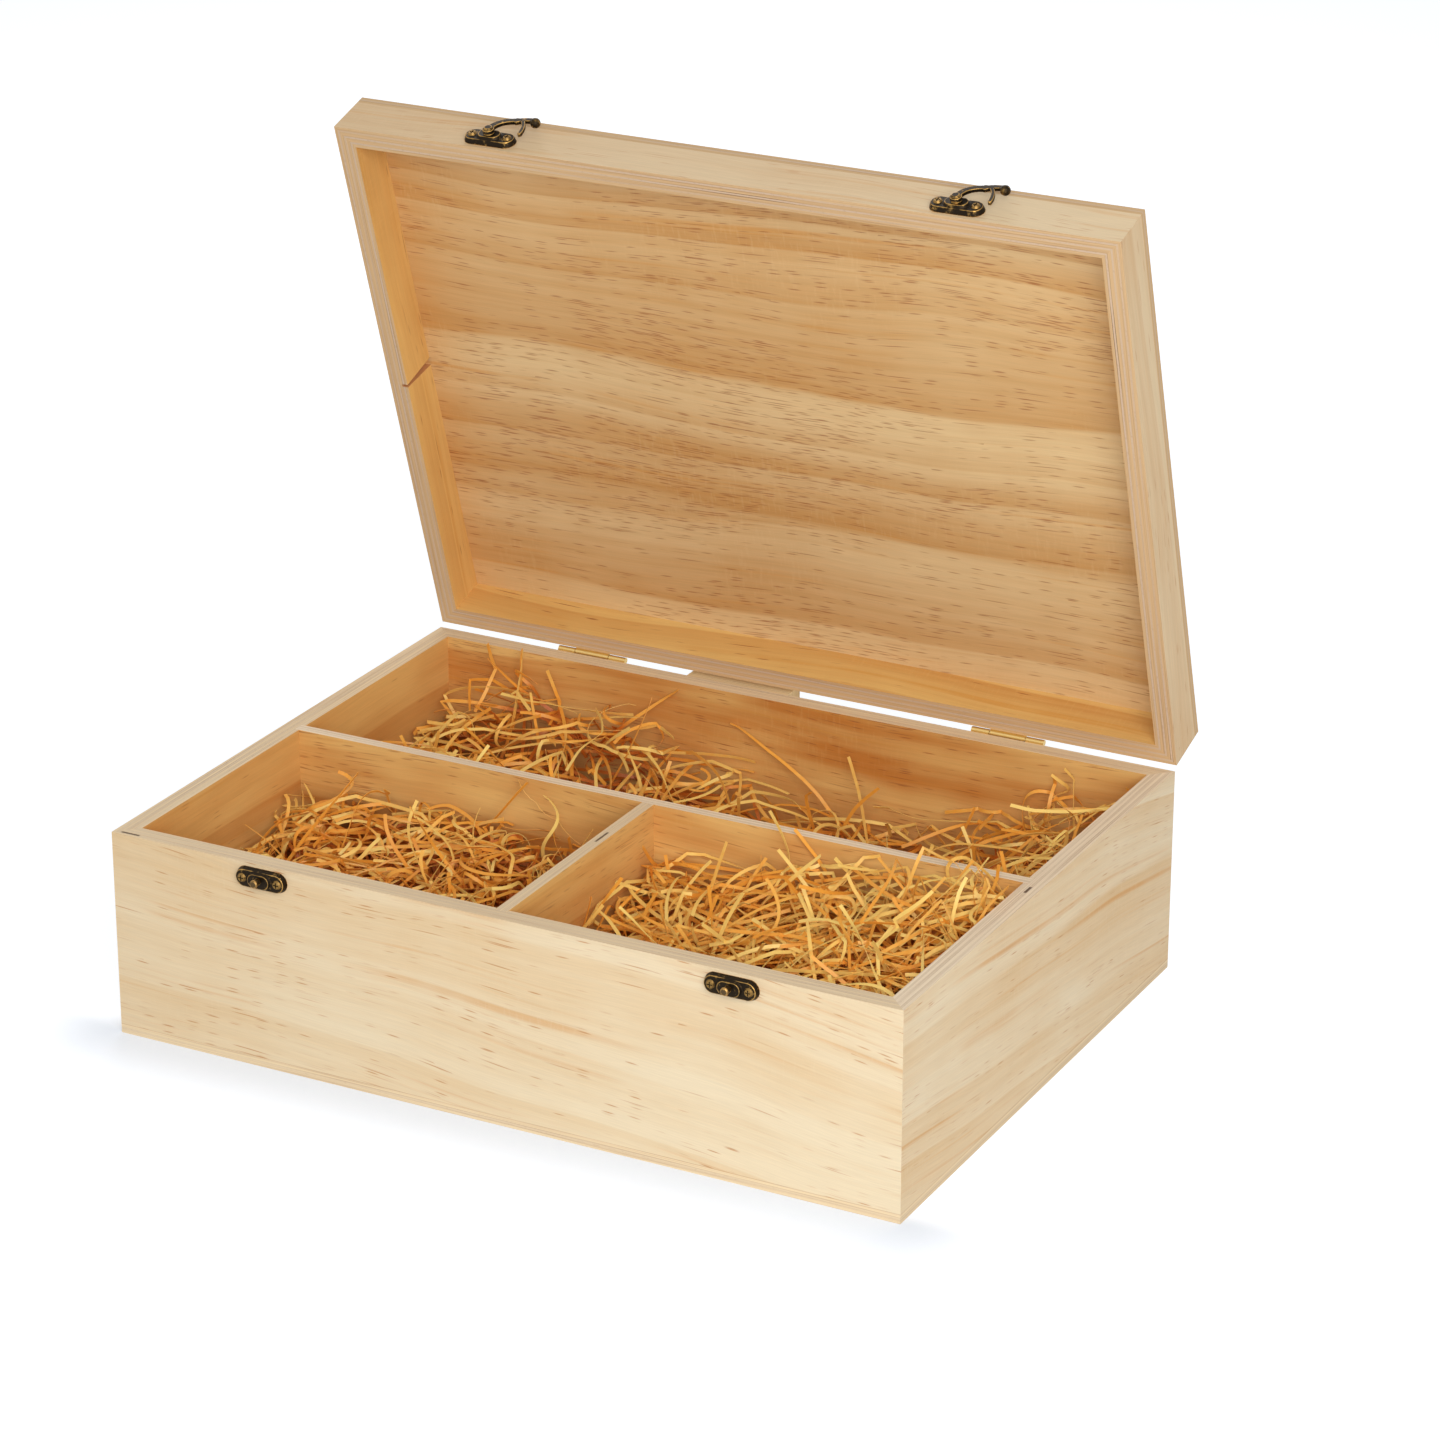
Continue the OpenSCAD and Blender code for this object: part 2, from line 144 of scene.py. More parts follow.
class StageSettings(bpy.types.PropertyGroup):
    camera_at: bpy.props.FloatVectorProperty(
        name="Camera", description="Place of the camera", subtype="TRANSLATION", size=3,
        unit="LENGTH", default=(0.88924, -1.62106, 0.88638))
    looks_at: bpy.props.FloatVectorProperty(
        name="Target", description="Point in the middle of the picture", subtype="TRANSLATION",
        size=3, unit="LENGTH", default=(0.03238, 0.0, 0.13362))
    lens: bpy.props.FloatProperty(name="Lens", description="Focal length in mm", default=121.15)
    floor_radius: length_prop("Floor", "Radius of the floor", 9.0)


# ------------------------------------------------------------- node helpers


class Net:
    """Adds nodes to one tree; every input may be a plain value or a socket."""

    def __init__(self, tree):
        self.tree = tree

    def put(self, socket, value):
        if isinstance(value, bpy.types.NodeSocket):
            self.tree.links.new(value, socket)
        elif value is not None:
            if getattr(socket, "type", "") == "RGBA" and len(value) == 3:
                value = (*value, 1.0)
            socket.default_value = value

    def node(self, kind, inputs=None, **settings):
        made = self.tree.nodes.new(kind)
        for key, value in settings.items():
            setattr(made, key, value)
        for key, value in (inputs or {}).items():
            self.put(made.inputs[key], value)
        return made

    def math(self, operation, first, second=0.0, clamp=False):
        return self.node("ShaderNodeMath", {0: first, 1: second},
                         operation=operation, use_clamp=clamp).outputs[0]

    def times(self, first, second):
        return self.math("MULTIPLY", first, second)

    def add(self, first, second):
        return self.math("ADD", first, second)

    def scaled(self, vector, by):
        return self.node("ShaderNodeVectorMath", {0: vector, 1: by},
                         operation="MULTIPLY").outputs[0]

    def split(self, vector):
        return self.node("ShaderNodeSeparateXYZ", {0: vector}).outputs

    def join(self, x, y, z):
        return self.node("ShaderNodeCombineXYZ", {0: x, 1: y, 2: z}).outputs[0]

    def noise(self, vector, scale=1.0, detail=2.0, roughness=0.5):
        return self.node("ShaderNodeTexNoise", {
            "Vector": vector, "Scale": scale, "Detail": detail, "Roughness": roughness,
        }).outputs["Fac"]

    def step(self, value, low, high):
        """0 below low, 1 above high, smooth between; low may be the larger."""
        return self.node("ShaderNodeMapRange", {
            "Value": value, "From Min": low, "From Max": high,
        }, interpolation_type="SMOOTHSTEP").outputs["Result"]

    def mix(self, factor, first, second, blend="MIX"):
        return self.node("ShaderNodeMix", {0: factor, 6: first, 7: second},
                         data_type="RGBA", blend_type=blend).outputs[2]

    def mix_value(self, factor, first, second):
        return self.node("ShaderNodeMix", {0: factor, 2: first, 3: second},
                         data_type="FLOAT").outputs[0]


def shader_group(name, inputs, outputs):
    """An empty shader node group with named sockets; gives it, its Net and its inputs."""
    kinds = {"float": "NodeSocketFloat", "vector": "NodeSocketVector", "colour": "NodeSocketColor"}
    tree = bpy.data.node_groups.new(name, "ShaderNodeTree")
    for label, kind in inputs.items():
        tree.interface.new_socket(label, in_out="INPUT", socket_type=kinds[kind])
    for label, kind in outputs.items():
        tree.interface.new_socket(label, in_out="OUTPUT", socket_type=kinds[kind])
    net = Net(tree)
    return tree, net, net.node("NodeGroupInput").outputs


def finish_group(net, results):
    net.node("NodeGroupOutput", results)


def placed_group(net, tree, inputs):
    """Places a shader group in a material and gives its outputs."""
    made = net.node("ShaderNodeGroup", node_tree=tree)
    for key, value in inputs.items():
        net.put(made.inputs[key], value)
    return made.outputs


def new_material(name):
    material = bpy.data.materials.new(name)
    material.use_nodes = True
    material.node_tree.nodes.clear()
    return material, Net(material.node_tree)


def finish_material(net, principled, bump_height=None, bump_distance=0.1 * MM, strength=1.0):
    if bump_height is not None:
        bump = net.node("ShaderNodeBump", {
            "Strength": strength, "Distance": bump_distance, "Height": bump_height})
        net.put(principled.inputs["Normal"], bump.outputs[0])
    net.node("ShaderNodeOutputMaterial", {"Surface": principled.outputs[0]})


# --------------------------------------------------------------- wood looks


def pine_veneer_group():
    """Pine: growth bands that end abruptly, orange lines, fibres, cutter marks and resin dashes."""
    tree, net, given = shader_group(
        "Pine veneer",
        {"Along": "float", "Across": "float", "Sheet": "float", "Pale": "colour",
         "Warm": "colour", "Dash colour": "colour", "Streak colour": "colour",
         "Bands": "float", "Bands and painted light": "float", "Dashes": "float", "Slant": "float"},
        {"Color": "colour"})
    along, sheet = given["Along"], given["Sheet"]
    across = net.add(given["Across"], net.times(along, given["Slant"]))
    wander = net.noise(net.join(net.times(along, 4.6), sheet, net.times(across, 8.0)), detail=1.5)
    warped = net.add(across, net.times(net.math("SUBTRACT", wander, 0.5), 0.030))

    def grain(along_scale, across_scale, offset, detail=2.0, roughness=0.5):
        return net.noise(net.join(net.times(along, along_scale), net.add(sheet, offset),
                                  net.times(warped, across_scale)), detail=detail,
                         roughness=roughness)

    uneven = net.noise(net.join(net.times(along, 0.9), sheet, net.times(warped, 16.0)), detail=1.0)
    ring = net.add(net.times(warped, 34.0), net.times(uneven, 2.6))
    strong = net.node("ShaderNodeTexWhiteNoise", {
        "Vector": net.join(net.math("FLOOR", ring), sheet, 0.0)}).outputs["Value"]
    phase = net.math("FRACT", ring)
    band = net.times(net.times(net.step(phase, 0.0, 0.92), net.step(phase, 1.0, 0.94)),
                     net.add(net.times(strong, 0.75), 0.25))
    cloud = net.step(grain(9.0, 14.0, 9.2, 3.0, 0.6), 0.30, 0.70)
    lines = net.step(grain(2.5, 230.0, 3.1, 2.0, 0.6), 0.36, 0.70)
    warmth = net.add(net.add(net.times(band, 0.55), net.times(lines, 0.20)),
                     net.times(cloud, 0.33))
    # The board's shift in warmth: growth bands and patches, and painted light on some boards.
    warmth = net.add(warmth, given["Bands and painted light"])
    colour = net.mix(net.math("MULTIPLY", warmth, given["Bands"], clamp=True),
                     given["Pale"], given["Warm"])
    streak = net.times(net.step(grain(3.2, 300.0, 11.3, 1.5, 0.55), 0.56, 0.74),
                       net.step(cloud, 0.15, 0.85))
    colour = net.mix(net.times(net.times(streak, given["Bands"]), 0.55),
                     colour, given["Streak colour"])
    cutter = net.noise(net.join(net.times(along, 820.0), sheet, net.times(across, 150.0)),
                       detail=1.0)
    cutter = net.times(net.step(cutter, 0.52, 0.74), net.step(cloud, 0.35, 0.9))
    colour = net.mix(net.times(cutter, 0.12), colour, given["Pale"])
    fibres = net.noise(net.join(net.times(along, 48.0), sheet, net.times(warped, 1700.0)),
                       detail=2.0, roughness=0.7)
    shade = net.add(net.times(net.math("SUBTRACT", fibres, 0.5), 0.22), 1.0)
    colour = net.mix(1.0, colour, net.join(shade, shade, shade), "MULTIPLY")

    crowd = net.step(grain(6.0, 26.0, 14.0, 2.0, 0.6), 0.42, 0.64)
    wanted = net.times(given["Dashes"], net.mix_value(crowd, 0.2, 1.0))
    for length, width, share in ((0.011, 0.00105, 1.0), (0.030, 0.00085, 0.6)):
        cells = net.node("ShaderNodeTexVoronoi", {
            "Vector": net.join(net.times(along, 1 / length), sheet, net.times(warped, 1 / width)),
            "Scale": 1.0}, voronoi_dimensions="3D").outputs
        chance = net.split(cells["Color"])
        present = net.math("LESS_THAN", chance[0], net.times(wanted, share))
        mark = net.times(net.times(net.step(cells["Distance"], 0.40, 0.10), present),
                         net.add(net.times(chance[1], 0.65), 0.2))
        colour = net.mix(mark, colour, given["Dash colour"])
    finish_group(net, {"Color": colour})
    return tree


def ply_edge_group():
    """Sanded plywood edge: thin grey cross plies, tan long ones, glue lines, an open gap's painted shade."""
    tree, net, given = shader_group(
        "Ply edge",
        {"Along": "float", "Depth": "float", "Sheet": "float", "Thickness": "float",
         "Plies": "float", "Long": "colour", "Cross": "colour", "Glue": "colour",
         "Gap at": "float", "Gap half": "float", "Gap ply": "float"},
        {"Color": "colour"})
    along, sheet, depth = given["Along"], given["Sheet"], given["Depth"]
    wobble = net.noise(net.join(net.times(along, 24.0), sheet, 0.0), detail=2.0)
    ply = net.add(net.times(net.math("DIVIDE", depth, given["Thickness"]), given["Plies"]),
                  net.times(net.math("SUBTRACT", wobble, 0.5), 0.35))
    number = net.math("FLOOR", ply)
    from_cross = net.math("ABSOLUTE", net.math(
        "SUBTRACT", net.math("MODULO", net.add(ply, 14.0), 2.0), 1.5))
    is_cross = net.step(from_cross, 0.44, 0.32)
    streaks = net.noise(net.join(net.times(along, 14.0), sheet, net.times(depth, 3200.0)),
                        detail=2.0)
    pores = net.noise(net.join(net.times(along, 700.0), sheet, net.times(depth, 1400.0)),
                      detail=1.5)
    long_colour = net.mix(net.times(net.step(streaks, 0.42, 0.74), 0.42),
                          given["Long"], given["Glue"])
    cross_colour = net.mix(net.times(net.step(pores, 0.5, 0.8), 0.25),
                           given["Cross"], given["Glue"])
    here = net.noise(net.join(net.times(along, 8.0), sheet, number), detail=2.0)
    pale_here = net.mix_value(net.step(here, 0.30, 0.62), 0.30, 0.85)
    colour = net.mix(net.times(is_cross, pale_here), long_colour, cross_colour)
    glue = net.times(net.step(net.math("ABSOLUTE", net.math("SUBTRACT", from_cross, 0.42)),
                              0.14, 0.02), net.step(here, 0.46, 0.68))
    colour = net.mix(net.times(glue, 0.6), colour, given["Glue"])
    colour = net.mix(net.times(net.times(glue, net.step(here, 0.66, 0.74)), 0.8),
                     colour, srgb(104, 64, 40))

    ragged = net.noise(net.join(net.times(along, 700.0), sheet, 2.0), detail=1.0)
    from_end = net.math("ABSOLUTE", net.math("SUBTRACT", along, given["Gap at"]))
    in_length = net.step(from_end, given["Gap half"], net.times(given["Gap half"], 0.75))
    from_ply = net.math("ABSOLUTE", net.math("SUBTRACT", ply, net.add(given["Gap ply"], 0.5)))
    gap = net.times(in_length, net.step(from_ply, 0.6, net.times(ragged, 0.6)))
    # Painted shade: the open gap has no depth and is painted dark brown for the shade inside it.
    colour = net.mix(net.times(gap, 0.85), colour, srgb(66, 38, 24))
    finish_group(net, {"Color": colour})
    return tree


def board_group(veneer, edge):
    """A whole board: outer face, inner face and plywood edges, picked by depth below the face."""
    pairs = {f"{side} {part}": kind for side in ("Outer", "Inner")
             for part, kind in (("pale", "colour"), ("warm", "colour"),
                                ("bands", "float"), ("dashes", "float"))}
    tree, net, given = shader_group(
        "Board",
        {"Vector": "vector", "Seed": "float", "Thickness": "float", "Plies": "float", **pairs,
         "Outer dash": "colour", "Inner dash": "colour", "Streak colour": "colour",
         "Bands and painted light": "float",
         "Slant": "float", "Long": "colour", "Cross": "colour", "Glue": "colour",
         "Gap at": "float", "Gap half": "float", "Gap ply": "float", "Seam": "float"},
        {"Color": "colour", "Roughness": "float", "Height": "float"})
    along, depth, across = net.split(given["Vector"])
    skin = 0.06 * MM
    outer = net.math("LESS_THAN", depth, skin)
    inner = net.math("GREATER_THAN", depth, net.math("SUBTRACT", given["Thickness"], skin))
    face = placed_group(net, veneer, {
        "Along": along, "Across": across,
        "Sheet": net.add(given["Seed"], net.times(inner, 21.0)),
        "Pale": net.mix(inner, given["Outer pale"], given["Inner pale"]),
        "Warm": net.mix(inner, given["Outer warm"], given["Inner warm"]),
        "Bands": net.mix_value(inner, given["Outer bands"], given["Inner bands"]),
        "Dashes": net.mix_value(inner, given["Outer dashes"], given["Inner dashes"]),
        "Dash colour": net.mix(inner, given["Outer dash"], given["Inner dash"]),
        "Streak colour": given["Streak colour"],
        "Bands and painted light": given["Bands and painted light"], "Slant": given["Slant"]})
    edges = placed_group(net, edge, {
        "Along": along, "Depth": depth, "Sheet": given["Seed"],
        **{key: given[key] for key in ("Thickness", "Plies", "Long", "Cross", "Glue",
                                       "Gap at", "Gap half", "Gap ply")}})
    on_face = net.math("MAXIMUM", outer, inner)
    colour = net.mix(on_face, edges["Color"], face["Color"])
    seam = net.step(net.math("ABSOLUTE", net.math("SUBTRACT", across, given["Seam"])),
                    0.35 * MM, 0.05 * MM)
    seam_here = net.noise(net.join(net.times(along, 14.0), given["Seed"], 0.0))
    seam = net.times(seam, net.step(seam_here, 0.3, 0.6))
    colour = net.mix(net.times(seam, 0.5), colour, given["Glue"])
    height = net.noise(net.join(net.times(along, 60.0), net.times(depth, 900.0),
                                net.times(across, 1300.0)), detail=2.0)
    roughness = net.add(net.mix_value(on_face, 0.8, 0.5), net.times(height, 0.1))
    finish_group(net, {"Color": colour, "Roughness": roughness, "Height": height})
    return tree


# Board axes in the shut box: along the grain, inwards from the outer face, across the grain.
# A negative axis starts at the board's high end.
SIDES = {
    "front": ((1, 0, 0), (0, 1, 0), (0, 0, 1)),
    "back": ((-1, 0, 0), (0, -1, 0), (0, 0, 1)),
    "right": ((0, 1, 0), (-1, 0, 0), (0, 0, 1)),
    "left": ((0, -1, 0), (1, 0, 0), (0, 0, 1)),
    "top": ((1, 0, 0), (0, 0, -1), (0, 1, 0)),
    "bottom": ((1, 0, 0), (0, 0, 1), (0, -1, 0)),
}

# node: (side, outer bands, inner bands, outer dashes, inner dashes, slant, gap at / half / ply)
NO_GAP = (-1.0, 0.001, 0)
BOARDS = {
    "front_wall": ("front", 0.8, 0.9, 0.45, 0.40, 0.05, (0.008, 0.005, 1)),
    "back_wall": ("back", 0.8, 1.1, 0.55, 0.80, 0.0, NO_GAP),
    "left_wall": ("left", 0.8, 0.75, 0.5, 0.2, 0.0, NO_GAP),
    "right_wall": ("right", 1.15, 1.0, 0.4, 0.5, 0.12, (0.1225, 0.0035, 3)),
    "bottom_panel": ("bottom", 0.7, 0.7, 0.30, 0.30, 0.0, NO_GAP),
    "long_divider": ("front", 1.1, 1.1, 0.95, 0.80, 0.0, NO_GAP),
    "cross_divider": ("right", 0.7, 0.8, 0.7, 0.6, 0.0, (0.082, 0.006, 2)),
    "lid_stop_block": ("back", 0.3, 0.3, 0.0, 0.0, 0.0, NO_GAP),
    "lid_panel": ("top", 0.8, 0.85, 0.5, 1.25, 0.0, NO_GAP),
    "lid_front_rail": ("front", 0.75, 0.8, 0.35, 0.20, 0.0, NO_GAP),
    "lid_back_rail": ("back", 0.7, 1.0, 0.30, 0.20, 0.0, NO_GAP),
    "lid_right_rail": ("right", 0.95, 0.8, 0.25, 0.20, 0.0, NO_GAP),
    "lid_left_rail_front": ("left", 0.8, 0.9, 0.30, 0.15, 0.0, NO_GAP),
    "lid_left_rail_rear": ("left", 0.8, 0.9, 0.30, 0.15, 0.0, NO_GAP),
}


# The lid panel's inner face: how warm the wood is at each share of the way to the hinges.
PANEL_BANDS = (
    (0.00, 0.25), (0.05, -0.05), (0.10, 0.15), (0.21, 0.35), (0.32, 0.58), (0.425, 0.70),
    (0.432, 0.00), (0.51, -0.08), (0.55, 0.15), (0.62, 0.28), (0.695, 0.52), (0.708, 0.08),
    (0.80, 0.05), (0.92, 0.12), (1.00, -0.10))


def panel_bands_and_painted_light(net, local, width):
    """Broad growth bands across a board, waved along it, with painted light paler to the right."""
    along, _, across = net.split(local)
    wave = net.noise(net.join(net.times(along, 5.0), 0.0, net.times(across, 6.0)), detail=2.0)
    at = net.add(net.math("DIVIDE", across, width),
                 net.times(net.math("SUBTRACT", wave, 0.5), 0.10))
    ramp = net.node("ShaderNodeValToRGB", {"Fac": at})
    stops = ramp.color_ramp.elements
    while len(stops) < len(PANEL_BANDS):
        stops.new(0.5)
    for stop, (place, warmth) in zip(stops, PANEL_BANDS):
        stop.position = place
        stop.color = (warmth + 0.2, 0, 0, 1)
    warmth = net.node("ShaderNodeSeparateColor", {0: ramp.outputs["Color"]}).outputs[0]
    # Painted light: warmth falls along the board, so it is painted paler towards its right end, as a sheen.
    return net.add(warmth, net.math("SUBTRACT", 0.0, net.times(along, 1.1)))


def front_painted_light(net, local):
    """Painted light: the front wall is warmer at its upper left and paler at its lower right."""
    along, _, across = net.split(local)
    return net.add(net.times(along, -0.9), net.math("SUBTRACT", net.times(across, 3.6), 0.02))


# Boards whose rims are painted paler, as painted light from the right and above, and boards
# whose faces have paler and warmer patches.
RIMS_PAINTED_LIT = ("long_divider", "right_wall")
PATCHY = ("long_divider", "cross_divider", "back_wall", "left_wall")


def patches(net, local):
    """Paler and warmer patches along a board's grain."""
    along, _, across = net.split(local)
    noise = net.noise(net.join(net.times(along, 9.0), 4.0, net.times(across, 38.0)), detail=2.0)
    return net.times(net.math("SUBTRACT", noise, 0.5), 2.4)


def rail_painted_light(net, local):
    """Painted light: the lid's front rail is paler towards its right end, where the light falls."""
    return net.times(net.step(net.split(local)[0], 0.18, 0.33), -0.6)


def body_of_node(node):
    return next(b for b, ns in frame["record"]["behaviour"]["bodies"].items() if node in ns)


def shut_matrix(body):
    """The turn that brings a body from the stored pose to the shut box."""
    if body == "base":
        return Matrix.Identity(4)
    hinge = next(j for j in frame["joints"] if j["child"] == "lid")
    at = Vector(hinge["pos_m"])
    turn = Matrix.Rotation(math.radians(hinge["range_deg"][1]), 4, Vector(hinge["axis"]))
    return Matrix.Translation(at) @ turn @ Matrix.Translation(-at)


def shut_corners(node):
    turn = shut_matrix(body_of_node(node))
    points = np.array([turn @ v.co for v in frame["nodes"][node].data.vertices])
    return points.min(axis=0), points.max(axis=0)


def board_matrix(node, side):
    """From the stored pose to the board's own axes: along, depth and across."""
    axes = [Vector(a) for a in SIDES[side]]
    low, high = shut_corners(node)
    start = Vector([high[i] if any(a[i] < 0 for a in axes) else low[i] for i in range(3)])
    to_board = Matrix([(*a, -a.dot(start)) for a in axes] + [(0, 0, 0, 1)])
    return to_board @ shut_matrix(body_of_node(node))


def board_thickness(node, side):
    low, high = shut_corners(node)
    return abs(Vector(SIDES[side][1]).dot(Vector(high - low)))


def wear(node, material):
    """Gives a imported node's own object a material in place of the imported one."""
    data = frame["nodes"][node].data
    data.materials.clear()
    data.materials.append(material)


NOTCH_REACH = 8 * MM  # how far from the splice a cut face may lie
NOTCH_COVER = 0.85  # how much of the cut faces' own colour shows


def notch_faces(net, node, place, along):
    """1 on the faces cut across the left rail where its two halves meet."""
    normal = net.node("ShaderNodeMapping", {
        "Vector": net.node("ShaderNodeTexCoord").outputs["Normal"],
        "Rotation": place.to_3x3().to_euler()}, vector_type="VECTOR").outputs[0]
    facing = net.math("GREATER_THAN", net.math("ABSOLUTE", net.split(normal)[0]), 0.6)
    low, high = shut_corners(node)
    splice = 0.0 if node.endswith("front") else high[1] - low[1]
    near = net.math("LESS_THAN", net.math("ABSOLUTE", net.math("SUBTRACT", along, splice)),
                    NOTCH_REACH)
    return net.times(facing, near)


def board_material(node, group, look):
    side, outer_bands, inner_bands, outer_dashes, inner_dashes, slant, gap = BOARDS[node]
    material, net = new_material(node.replace("_", " ") + " wood")
    place = board_matrix(node, side)
    local = net.node("ShaderNodeMapping", {
        "Vector": net.node("ShaderNodeTexCoord").outputs["Object"],
        "Location": place.to_translation(),
        "Rotation": place.to_3x3().to_euler(),
    }).outputs[0]
    thickness = board_thickness(node, side)
    inside = "panel" if node == "lid_panel" else "lid" if "rail" in node else "inner"
    divider, block = node.endswith("divider"), node.endswith("block")
    outside = "inner" if divider else "rail" if "rail" in node else "outer"
    pick = lambda name: getattr(look, name)
    # Each board's shift in warmth: growth bands and patches, and painted light on the front wall, the lid's front
    # rail and the lid panel.
    shift = {"lid_panel": lambda: panel_bands_and_painted_light(net, local, 0.262),
             "lid_front_rail": lambda: rail_painted_light(net, local),
             **dict.fromkeys(PATCHY, lambda: patches(net, local)),
             "front_wall": lambda: front_painted_light(net, local)}.get(node, lambda: 0.0)()
    made = placed_group(net, group, {
        "Vector": local, "Seed": 3.7 * list(BOARDS).index(node), "Thickness": thickness,
        "Plies": 7.0 if thickness > 8 * MM else (5.0 if thickness > 5 * MM else 3.0),
        "Outer pale": pick(outside + "_pale"), "Outer warm": pick(outside + "_warm"),
        "Inner pale": pick(inside + "_pale"), "Inner warm": pick(inside + "_warm"),
        "Outer dash": look.dash if divider else look.outer_dash, "Inner dash": look.dash,
        "Streak colour": look.streak,
        "Bands and painted light": shift,
        "Outer bands": outer_bands, "Inner bands": inner_bands,
        "Outer dashes": outer_dashes, "Inner dashes": inner_dashes, "Slant": slant,
        # Painted light: the stop block's edges take its pale painted-light colour.
        "Long": (look.block if block else look.ply_lid if "lid" in node
                 # Painted light: the long divider and right wall take the paler rim colour where light falls on
                 # them.
                 else look.painted_lit_rims if node in RIMS_PAINTED_LIT else look.ply_long),
        "Cross": look.block if block else look.lid_cross if "lid" in node else look.ply_cross,
        "Glue": look.glue,
        "Gap at": gap[0], "Gap half": gap[1], "Gap ply": float(gap[2]),
        "Seam": 0.0 if "wall" in node else -1.0})
    colour = made["Color"]
    if node.startswith("lid_left_rail"):
        cut = notch_faces(net, node, place, net.split(local)[0])
        colour = net.mix(net.times(cut, NOTCH_COVER), colour, look.notch)
    surface = net.node("ShaderNodeBsdfPrincipled", {
        "Base Color": colour, "Roughness": made["Roughness"], "IOR": 1.45,
        "Specular IOR Level": 0.35})
    finish_material(net, surface, made["Height"], 0.08 * MM, 0.6)
    return material


class WINEBOX_OT_wood(bpy.types.Operator):
    """Gives every board of the box and the lid its pine faces and plywood edges"""
    bl_idname = "winebox.wood"
    bl_label = "Boards"

    def execute(self, context):
        look = context.scene.winebox_wood
        group = board_group(pine_veneer_group(), ply_edge_group())
        for node in BOARDS:
            wear(node, board_material(node, group, look))
        return {"FINISHED"}


# ------------------------------------------------------------------ metals


def worn_metal_group():
    """Antique finish that is rubbed bright on raised edges, over a slightly uneven casting."""
    tree, net, given = shader_group(
        "Worn metal",
        {"Vector": "vector", "Dark": "colour", "Worn": "colour", "Wear": "float"},
        {"Color": "colour", "Roughness": "float", "Height": "float"})
    raised = net.node("ShaderNodeNewGeometry").outputs["Pointiness"]
    blotches = net.noise(net.scaled(given["Vector"], (420.0, 420.0, 420.0)),
                         detail=3.0, roughness=0.65)
    casting = net.noise(net.scaled(given["Vector"], (1500.0, 1500.0, 1500.0)), detail=2.0)
    edge = net.step(net.math("ADD", raised, net.math("MULTIPLY", net.math(
        "SUBTRACT", blotches, 0.5), 0.05)), 0.505, 0.535)
    rubbed = net.math("MULTIPLY", net.math("ADD", edge, net.math(
        "MULTIPLY", net.step(blotches, 0.56, 0.72), 0.35)), given["Wear"], clamp=True)
    colour = net.mix(rubbed, given["Dark"], given["Worn"])
    roughness = net.mix_value(rubbed, 0.42, 0.28)
    roughness = net.math("ADD", roughness, net.math("MULTIPLY", casting, 0.12))
    finish_group(net, {"Color": colour, "Roughness": roughness, "Height": casting})
    return tree


def metal_material(name, group, dark, worn, wear_amount):
    material, net = new_material(name)
    place = net.node("ShaderNodeTexCoord").outputs["Object"]
    made = placed_group(net, group, {
        "Vector": place, "Dark": dark, "Worn": worn, "Wear": wear_amount})
    surface = net.node("ShaderNodeBsdfPrincipled", {
        "Base Color": made["Color"], "Roughness": made["Roughness"], "Metallic": 1.0})
    finish_material(net, surface, made["Height"], 0.03 * MM, 0.5)
    return material


def merged_copy(node, name):
    """A new object with the node's mesh, its loose triangles joined up."""
    data = frame["nodes"][node].data.copy()
    data.name = name
    shape = bmesh.new()
    shape.from_mesh(data)
    bmesh.ops.remove_doubles(shape, verts=shape.verts, dist=0.001 * MM)
    shape.to_mesh(data)
    shape.free()
    made = bpy.data.objects.new(name, data)
    bpy.context.scene.collection.objects.link(made)
    return made


def baked(made):
    """Turns an object's modifiers into its plain mesh."""
    seen = made.evaluated_get(bpy.context.evaluated_depsgraph_get())
    data = bpy.data.meshes.new_from_object(seen)
    data.name = made.name
    made.modifiers.clear()
    made.data = data
    return made


def cast_piece(node, voxel, rounds):
    """A softened copy of a fitting, as cast metal has no sharp corners."""
    made = merged_copy(node, node + "_cast")
    remesh = made.modifiers.new("Remesh", "REMESH")
    remesh.mode = "VOXEL"
    remesh.voxel_size = voxel
    smooth = made.modifiers.new("Smooth", "SMOOTH")
    smooth.factor = 0.5
    smooth.iterations = rounds
    baked(made)
    made.data.shade_smooth()
    return made


def settle(piece, body, material=None, replaced=()):
    """Hands a finished piece to its body and what it stands for."""
    if material is not None:
        piece.data.materials.clear()
        piece.data.materials.append(material)
    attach(piece, body)
    if replaced:
        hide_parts(*replaced)
    return piece


class WINEBOX_OT_fittings(bpy.types.Operator):
    """Makes the cast latches and catches, and finishes the hinges and screws"""
    bl_idname = "winebox.fittings"
    bl_label = "Latches, catches and hinges"

    def execute(self, context):
        look = context.scene.winebox_metal
        group = worn_metal_group()
        antique = metal_material("Antique bronze", group, look.dark, look.worn, 0.9)
        screws = metal_material("Dark screws", group, srgb(62, 50, 34), look.worn, 0.45)
        brass = metal_material("Brass", group, look.brass, srgb(232, 196, 120), 0.6)
        coppery = metal_material("Rubbed post", group, srgb(92, 74, 50), srgb(196, 152, 88), 1.0)
        cast = [n for n in frame["nodes"]
                if n.startswith(("catch_plate", "catch_post", "latch_plate", "latch_arm",
                                 "latch_rivet"))]
        for node in frame["nodes"]:
            if node in cast:
                piece = cast_piece(node, look.voxel, 5)
                metal = coppery if "post" in node else antique
                settle(piece, body_of_node(node), metal, [node])
            elif "hinge" in node:
                wear(node, brass)
            elif node.endswith("screws"):
                wear(node, screws)
        return {"FINISHED"}


# --------------------------------------------------------------- wood wool


